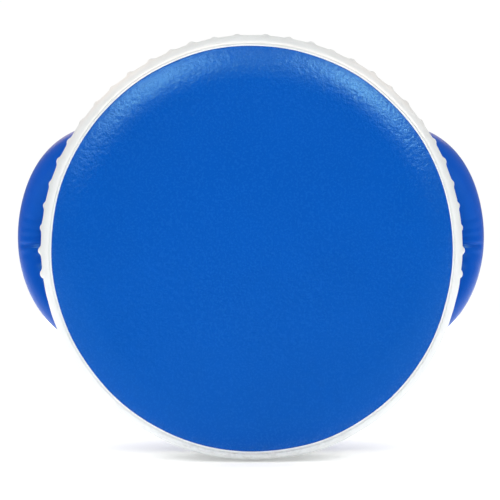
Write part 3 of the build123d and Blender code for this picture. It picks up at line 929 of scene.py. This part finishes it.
def roll_pieces():
    """The +X loop's pieces in place, with the part that each replaces, its slot and its fill."""
    skin = arm_roll_skin()
    local = np.empty(len(skin.data.vertices) * 3)
    skin.data.vertices.foreach_get("co", local)
    placed = loop_to_world(*local.reshape(-1, 3).T)
    skin.data.vertices.foreach_set("co", placed.ravel())
    skin.data.update()
    smooth = skin.modifiers.new("smooth", "SUBSURF")
    smooth.levels = smooth.render_levels = 1
    bpy.context.view_layer.objects.active = skin
    bpy.ops.object.modifier_apply(modifier=smooth.name)

    unsewn = 24  # rows at each end, inside the gathers
    grid = placed.reshape(ROLL_ROWS, ROLL_SIDES, 3)[unsewn:-unsewn]
    seam = grid[:, ROLL_SEAM]
    sewn = stitches("roll_seam", seam, seam - grid.mean(1))

    filling = roll_points(60, 24, shrink=9 * MM)
    stuffing = loft("roll_filling", loop_to_world(*np.moveaxis(filling, -1, 0)))

    u, z, turn, _, from_end = roll_centreline(90)
    keep = from_end > 6 * MM
    u, z, turn = u[keep], z[keep], turn[keep]
    edges = []
    for thick, wide in ((-1.2, -12.5), (-1.2, 12.5), (1.2, 12.5), (1.2, -12.5)):
        off = thick * MM
        wide = np.full(len(u), wide * MM)
        edges.append(loop_to_world(u + off * np.cos(turn), wide, z + off * np.sin(turn)))
    webbing = band("roll_webbing", edges, lambda point: (point.z, point.y))
    return {
        "arm_roll": (paint(skin, blue_roll), "arm_loop_cover", "roll_fabric", 0.9),
        "arm_roll_seam": (paint(sewn, blue_thread), None, None, None),
        "arm_roll_filling": (paint(stuffing, sponge), "arm_loop_foam", "roll_foam", 1.0),
        "arm_roll_webbing": (paint(webbing, inner_webbing), "arm_loop_strap", "inner_webbing", None),
    }


def arm_loops():
    pieces = roll_pieces()
    for side, sign in SIDES.items():
        for name, (piece, node, slot, fill) in pieces.items():
            if side == "left":
                piece = mirrored(piece, f"{name}_left")
            else:
                piece.name = piece.data.name = f"{name}_right"
            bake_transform(piece)
            if node:
                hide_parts(f"{node}_{side}")


def arm_patches():
    """The round patch under each end of a loop, dished where the gathered end sits in it."""
    turn = np.arange(120) * TURN / 120
    for side in SIDES:
        low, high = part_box(f"arm_loop_anchors_{side}")
        outline = (high.x - low.x) / 2 * np.stack([np.cos(turn), np.sin(turn)], -1)
        patches, rows = [], []
        for end in (1, -1):
            centre = Vector(((low.x + high.x) / 2, 0, LOOP_HINGE.z + end * LOOP_HALF_H))

            def dish(points, centre=centre):
                x, z = points[:, 0] - centre.x, points[:, 2] - centre.z
                across = np.hypot(x, z)
                ball = np.sqrt(np.maximum((LOOP_END_R + 1.3 * MM) ** 2 - across**2, 0))
                puckers = 0.25 * MM * np.cos(18 * np.arctan2(z, x))
                top = high.y + puckers * smoothstep(28 * MM, 15 * MM, across)
                inside = across < LOOP_END_R + 1.2 * MM
                return np.where(inside, np.minimum(top, LOOP_HINGE.y - ball), top)

            y_low = BACK_Y + 0.15 * MM
            patches.append(patch(f"disc{end}", centre, outline, y_low, high.y, puff=0, dish=dish))
            sewn_at, y = (4 * MM, 8 * MM), high.y - 0.15 * MM
            rows += edge_stitches(centre, outline, sewn_at, y, pitch=4.5 * MM, length=3.4 * MM)
        discs = join(f"arm_patch_{side}", patches)
        place(discs, blue_back, "shield", f"arm_loop_anchors_{side}", slot="anchor_fabric")
        place(join(f"arm_patch_stitches_{side}", rows), white_thread, "shield")


# ---- hand grips ----------------------------------------------------------------------------------
GRIP_HALF_SPAN, GRIP_TOP_HALF, GRIP_BEND_R = 70 * MM, 54 * MM, 14 * MM
TUNNEL_R, TUNNEL_HALF_W, TUNNEL_HALF_T = 6.3 * MM, 10 * MM, 0.75 * MM


def grip_path():
    """The strap's line from one hinge to the other, as y and z from its middle, with rounded corners."""
    low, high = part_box("grip_foam_right")
    top = (low.y + high.y) / 2
    corners = [(GRIP_HINGE.y, -GRIP_HALF_SPAN), (top, -GRIP_TOP_HALF)]
    corners += [(y, -z) for y, z in corners[::-1]]
    corners = [Vector(corner) for corner in corners]
    points = [corners[0]]
    for before, corner, after in zip(corners, corners[1:], corners[2:]):
        to_before, to_after = (before - corner).normalized(), (after - corner).normalized()
        half = to_before.angle(to_after) / 2
        back = GRIP_BEND_R / math.tan(half)
        centre = corner + (to_before + to_after).normalized() * (GRIP_BEND_R / math.sin(half))
        a, b = corner + to_before * back - centre, corner + to_after * back - centre
        points += [centre + a.slerp(b, k / 8).normalized() * GRIP_BEND_R for k in range(9)]
    return np.array([tuple(p) for p in (*points, corners[-1])])


def left_of(line):
    """The direction to the left of a flat line at each of its points."""
    tangent = np.gradient(line, axis=0)
    tangent /= np.linalg.norm(tangent, axis=1, keepdims=True)
    return np.stack([tangent[:, 1], -tangent[:, 0]], -1)


def band_along(name, path, half_w, half_t, x):
    """A flat band with thin edges, whose middle line is given as y and z."""
    normal, run = left_of(path), distances(path)
    edges = []
    for a, b in ((-1, -0.5), (-1, 0.5), (-0.9, 1), (0.9, 1), (1, 0.5), (1, -0.5), (0.9, -1), (-0.9, -1)):
        line = path + normal * b * half_t
        edges.append(np.stack([np.full(len(path), x + a * half_w), line[:, 0], line[:, 1]], -1))

    def uv(point):
        nearest = int(np.argmin(np.hypot(path[:, 0] - point.y, path[:, 1] - point.z)))
        return run[nearest], point.x - x + half_w

    return band(name, edges, uv, smooth=True)


BARREL_R = np.array([4.6, 4.9, 4.9, 4.9, 4.9, 4.9, 4.9, 4.3]) * MM  # the webbing rolled round a hinge's rod


def grips():
    dense = respaced(grip_path(), 120)
    dense[:, 1] += GRIP_HINGE.z
    for side, sign in SIDES.items():
        body = f"grip_{side}"
        x = GRIP_HINGE.x * sign
        pieces = [band_along(f"strap_{side}", dense, 9.6 * MM, 1.3 * MM, x)]
        low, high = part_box(f"grip_strap_{side}")

        def uv(point, x=x):
            return math.atan2(point.y - GRIP_HINGE.y, point.x - x) * 5 * MM, point.z

        for end, outer in ((1, high.z), (-1, low.z)):
            z = np.linspace(GRIP_HINGE.z + end * (GRIP_HALF_SPAN - 4 * MM), outer, len(BARREL_R))
            line = np.stack(np.broadcast_arrays(x, GRIP_HINGE.y, z), -1)
            pieces.append(unwrap(tube(f"barrel{end}", line, BARREL_R, sides=24), uv))
        strap = join(f"grip_strap_band_{side}", pieces)
        place(strap, black_webbing, body, f"grip_strap_{side}", slot="grip_webbing")
        sleeve(side, body)
        grip_anchors(side, x)


def sleeve(side, body):
    """The padded sleeve: a stuffed tube, sewn shut along the palm side, gathered at both ends."""
    low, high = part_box(f"grip_cover_{side}")
    centre = (low + high) / 2
    half, radius = (high.z - low.z) / 2, (high.x - low.x) / 2
    turn = np.arange(48) * TURN / 48

    def ring(r, z):
        x, y = centre.x + r * np.cos(turn), centre.y + r * np.sin(turn)
        return np.stack([x, y, np.full(len(turn), centre.z + z)], -1)

    along = np.linspace(-1, 1, 72)
    end = np.clip((1 - np.abs(along)) / 0.14, 0, 1)
    profile = radius * (0.52 + 0.48 * np.sqrt(np.clip(1 - (1 - end) ** 2, 0, 1)))
    profile *= np.minimum(1 - 0.05 * np.cos(along * TURN), 1)
    seam = -0.9 * MM * np.exp(-(((turn - math.pi * 1.5) / 0.10) ** 2))
    rings = []
    for t, r in zip(along, profile):
        ripple = 0.25 * MM * np.cos(13 * turn + 0.5) * math.exp(-((1 - abs(t)) / 0.1) ** 2)
        rings.append(ring((r - 0.3 * MM + ripple + seam) * (0.95 + 0.05 * np.sin(turn) ** 2), t * half))
    cover = loft(f"grip_sleeve_{side}", rings)
    place(cover, black_grip, body, f"grip_cover_{side}", slot="grip_fabric", fill=0.8)

    along = np.linspace(-0.88, 0.88, 60)
    line = np.stack(np.broadcast_arrays(centre.x, centre.y - radius * 0.93, centre.z + along * half), -1)
    sewn = stitches(f"grip_seam_{side}", line, (0, -1, 0), pitch=4.5 * MM, length=3.4 * MM)
    place(sewn, white_thread, body)

    along = np.linspace(-0.96, 0.96, 12)
    rings = [ring((radius - 4.5 * MM) * (1 - 0.25 * abs(t) ** 8), t * half * 0.93) for t in along]
    inner = loft(f"grip_padding_{side}", rings)
    place(inner, sponge, body, f"grip_foam_{side}", slot="grip_foam", fill=1.0)


def tunnel(name, x, z, foot_y):
    """Webbing laid over the hinge's rod and sewn down on both sides of it."""
    angle = np.linspace(-0.15, math.pi + 0.15, 24)
    legs = [(x + 17 * MM, foot_y), (x + 8.5 * MM, foot_y), (x + 6.6 * MM, foot_y + 2 * MM)]
    over = np.stack([x + TUNNEL_R * np.cos(angle), GRIP_HINGE.y + TUNNEL_R * np.sin(angle)], -1)
    line = respaced(np.array([*legs, *over, *((2 * x - a, b) for a, b in legs[::-1])]), 70)
    normal = left_of(line)
    edges = []
    for a, b in ((-1, -1), (-1, 1), (1, 1), (1, -1)):
        edge = line + normal * b * TUNNEL_HALF_T
        edges.append(np.stack([edge[:, 0], edge[:, 1], np.full(len(line), z + a * TUNNEL_HALF_W)], -1))
    return band(name, edges, lambda point: (point.x + point.y, point.z))


def grip_anchors(side, x):
    """Under each end of a grip: a patch, and a tunnel of webbing that the strap's end turns in."""
    low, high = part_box(f"grip_anchors_{side}")
    panel_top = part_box("handle_panel")[1].y
    top = panel_top + 1.6 * MM
    foot_y = top + 0.8 * MM
    half_h = 22 * MM
    outline = rounded_outline((high.x - low.x) / 2, half_h, 6 * MM, 120, arc=20)
    patches, tunnels, rows = [], [], []
    for end, z in ((1, high.z - half_h), (-1, low.z + half_h)):
        centre = Vector((x, 0, z))
        patches.append(patch(f"gp{end}", centre, outline, panel_top + 0.1 * MM, top, puff=0.1 * MM))
        rows += edge_stitches(centre, outline, (3.5 * MM,), top - 0.1 * MM, pitch=4 * MM, length=3 * MM)
        tunnels.append(tunnel(f"tunnel{end}", x, z, foot_y))
        for s in (1, -1):
            line = [(x + s * 12.5 * MM, foot_y + TUNNEL_HALF_T, z + reach) for reach in (-8 * MM, 8 * MM)]
            rows.append(stitches(f"bx{end}{s}", line, BACKWARD, pitch=3 * MM, length=2.4 * MM))
    squares = join(f"grip_patch_{side}", patches)
    place(squares, black_patch, "shield", f"grip_anchors_{side}", slot="grip_patch")
    place(join(f"grip_tunnels_{side}", tunnels), black_webbing, "shield")
    place(join(f"grip_patch_stitches_{side}", rows), white_thread, "shield")


# ---- the object ----------------------------------------------------------------------------------
strike_face()
side_gusset()
piping(
    "front_piping_cord", "front_piping", lambda a: seam_radius(a) + 0.7 * MM,
    SEAM_Y + 0.1 * MM, 1.0 * MM, "piping",
)
piping(
    "rear_piping_cord", "rear_piping", lambda a: np.full_like(a, BACK_R + 1.2 * MM),
    BACK_Y - 0.5 * MM, 2.2 * MM, "rear_piping",
)
back_cover()
foam_layers()
drum_stitching()
zipper()
handle_panel()
arm_patches()
arm_loops()
grips()

# ---- studio --------------------------------------------------------------------------------------
FACE_SHARE = 0.804  # of the picture's width that the strike face takes
CAMERA_DISTANCE = 3.0
CAMERA_UP, CAMERA_SIDE = math.radians(2.2), math.radians(-0.3)
SENSOR = 36
AMBIENT = 0.42  # soft light from all round; the background itself is white
DARK_FRONT = 0.04  # and little of it from straight ahead, so the flat of the face mirrors no haze
SHINE_COLOUR = (1.0, 0.68, 0.5)
FLOOR_R = 2.6
# painted light: how much the floor glows, least under the shield to paint its contact shadow, most further
# out
FLOOR_PAINTED_LIGHT = (0.22, 0.50, 0.85)  # under the shield, beside it, and further out, where less light falls


def studio():
    scene = bpy.context.scene
    scene.view_settings.view_transform = "Standard"
    scene.view_settings.look = "None"

    world = bpy.data.worlds.new("studio")
    scene.world = world
    world.use_nodes = True
    nodes, links = world.node_tree.nodes, world.node_tree.links
    background = nodes["Background"]
    background.inputs["Color"].default_value = (1, 1, 1, 1)
    direction = nodes.new("ShaderNodeSeparateXYZ")
    links.new(nodes.new("ShaderNodeTexCoord").outputs["Generated"], direction.inputs["Vector"])
    ambient = nodes.new("ShaderNodeMapRange")
    settings = {"From Min": -1.0, "From Max": -0.65, "To Min": DARK_FRONT, "To Max": AMBIENT}
    for socket, value in settings.items():
        ambient.inputs[socket].default_value = value
    links.new(direction.outputs["Y"], ambient.inputs["Value"])
    level = nodes.new("ShaderNodeMapRange")
    level.inputs["To Max"].default_value = 1.02
    links.new(ambient.outputs["Result"], level.inputs["To Min"])
    links.new(nodes.new("ShaderNodeLightPath").outputs["Is Camera Ray"], level.inputs["Value"])
    links.new(level.outputs["Result"], background.inputs["Strength"])

    # A round white floor, which meets the white background without an edge. It glows with painted light,
    # dimmest under the shield, where that paints a contact shadow.
    turn = np.arange(96) * TURN / 96
    across = np.linspace(0, FLOOR_R, 12)
    rings = [np.stack([r * np.cos(turn), r * np.sin(turn), 0 * turn], -1) for r in across]
    floor = loft("floor", rings, ends=False)
    surface = Surface("pale_floor", (0.9, 0.9, 0.9), 0.7, Specular_IOR_Level=0.1)
    away = surface.add("VectorMath", {"operation": "LENGTH"}, i0=surface.coordinates).outputs["Value"]
    under, beside, beyond = FLOOR_PAINTED_LIGHT
    # painted light: the floor glows least under the shield, as a painted contact shadow, and more beside it
    # and further out
    painted_contact_shadow = surface.ramp(away, 0.10, 0.20, under, beside)
    painted_floor_light = surface.maths("ADD", painted_contact_shadow, surface.ramp(away, 0.35, 1.2, 0, beyond - beside))
    surface.tree.links.new(painted_floor_light, surface.shader.inputs["Emission Strength"])
    surface.shader.inputs["Emission Color"].default_value = (1, 1, 1, 1)
    surface.bump(surface.noise(3, 2), 0.05, 1 * MM)
    paint(floor, surface.material)

    target = Vector((-2.3 * MM, SEAM_Y, AXIS_Z - 1.1 * MM))
    level = math.cos(CAMERA_UP)
    back = Vector((math.sin(CAMERA_SIDE) * level, -math.cos(CAMERA_SIDE) * level, math.sin(CAMERA_UP)))
    camera = bpy.data.objects.new("camera", bpy.data.cameras.new("camera"))
    scene.collection.objects.link(camera)
    camera.location = target + back * CAMERA_DISTANCE
    camera.rotation_euler = (-back).to_track_quat("-Z", "Y").to_euler()
    camera.data.sensor_width = SENSOR
    camera.data.lens = SENSOR * CAMERA_DISTANCE / (2 * SEAM_R / FACE_SHARE)
    camera.data.clip_end = 200
    scene.camera = camera

    # Soft boxes that only brighten the cloth, then ones that only shine in its gloss:
    # distance, degrees off the shield's own axis, degrees round it, width, height, brightness.
    soft = {
        "high_front": (1.1, 31, 90, 0.5, 0.25, 5.7),
        "left_fill": (2.4, 62, 150, 0.9, 0.9, 4.2),
        "right_fill": (2.4, 62, 30, 0.9, 0.9, 3.8),
        "overhead": (2.5, 84, 90, 2.4, 1.6, 1.3),
        "back_box": (2.4, 155, 90, 1.4, 1.4, 2.2),
    }
    shine = {
        "left_shine": (2.8, 50, 122, 1.3, 1.1, 27),
        "right_shine": (2.8, 52, 54, 0.8, 0.9, 54),
        "top_shine": (2.4, 66, 90, 1.6, 0.5, 3),
        "back_left_shine": (2.8, 142, 130, 1.0, 1.1, 1.7),
        "back_right_shine": (2.8, 140, 50, 0.8, 0.9, 1.6),
    }
    aim = Vector((0, SEAM_Y / 2, AXIS_Z))
    for name, (far, off, turn, width, height, brightness) in {**soft, **shine}.items():
        off, turn = math.radians(off), math.radians(turn)
        light = bpy.data.lights.new(name, "AREA")
        light.shape = "RECTANGLE"
        light.size, light.size_y = width, height
        light.energy = math.pi * width * height * brightness
        light.color = SHINE_COLOUR if name in shine else (1, 1, 1)
        lamp = bpy.data.objects.new(name, light)
        scene.collection.objects.link(lamp)
        outward = Vector((math.sin(off) * math.cos(turn), -math.cos(off), math.sin(off) * math.sin(turn)))
        lamp.location = aim + far * outward
        lamp.rotation_euler = (-outward).to_track_quat("-Z", "Y").to_euler()
        lamp.visible_camera = False
        lamp.visible_diffuse = name in soft
        lamp.visible_glossy = name in shine


studio()
